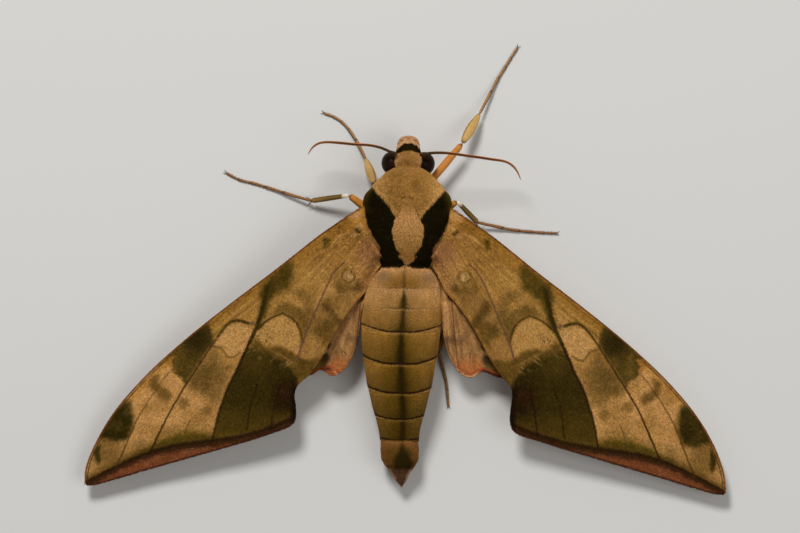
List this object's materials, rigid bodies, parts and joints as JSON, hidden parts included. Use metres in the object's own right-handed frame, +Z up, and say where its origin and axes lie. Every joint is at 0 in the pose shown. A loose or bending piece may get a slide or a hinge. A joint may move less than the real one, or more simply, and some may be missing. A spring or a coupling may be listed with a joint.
{
  "type": "hawk moth",
  "caption": "Still life-size hawk moth at rest with its long pointed wings spread flat, feelers and legs out, on flat soles.",
  "frame": {"origin": "on the ground under the waist, close to the middle of the whole outline", "axes": "+X towards the moth's right wing, +Y towards its head, +Z up from the ground"},
  "size_m": [0.0883, 0.0617, 0.0125],
  "materials": {
    "tan_coat": "velvety tan scales, matt",
    "olive_coat": "velvety black-olive scales, matt",
    "abdomen_coat": "velvety olive-brown scales with dark bands, matt",
    "wing_scales": "ochre scales with olive bands, matt with a faint silk",
    "hindwing_scales": "pinkish tan scales, matt",
    "eye": "dark brown, glossy, finely faceted",
    "leg_scales": "orange-brown scales, matt",
    "antenna": "dark brown, ringed, matt"
  },
  "bodies": {
    "root": {"head": "tan_coat", "collar": "tan_coat", "thorax": "tan_coat", "abdomen_1": "abdomen_coat", "abdomen_2": "abdomen_coat", "abdomen_3": "abdomen_coat", "abdomen_4": "abdomen_coat", "abdomen_5": "abdomen_coat", "abdomen_6": "abdomen_coat", "abdomen_7": "abdomen_coat", "abdomen_8": "abdomen_coat", "abdomen_9": "abdomen_coat", "eye_left": "eye", "palp_left": "tan_coat", "antenna_left": "antenna", "tegula_left": "olive_coat", "forewing_left": "wing_scales", "hindwing_left": "hindwing_scales", "eye_right": "eye", "palp_right": "tan_coat", "antenna_right": "antenna", "tegula_right": "olive_coat", "forewing_right": "wing_scales", "hindwing_right": "hindwing_scales", "foreleg_left_femur": "leg_scales", "foreleg_left_tibia": "leg_scales", "foreleg_left_tarsus": "leg_scales", "foreleg_right_femur": "leg_scales", "foreleg_right_tibia": "leg_scales", "foreleg_right_tarsus": "leg_scales", "midleg_left_femur": "leg_scales", "midleg_left_tibia": "leg_scales", "midleg_left_tarsus": "leg_scales", "midleg_right_femur": "leg_scales", "midleg_right_tibia": "leg_scales", "midleg_right_tarsus": "leg_scales", "hindleg_left_femur": "leg_scales", "hindleg_left_tibia": "leg_scales", "hindleg_left_tarsus": "leg_scales", "hindleg_right_femur": "leg_scales", "hindleg_right_tibia": "leg_scales", "hindleg_right_tarsus": "leg_scales"}
  },
  "joints": []
}
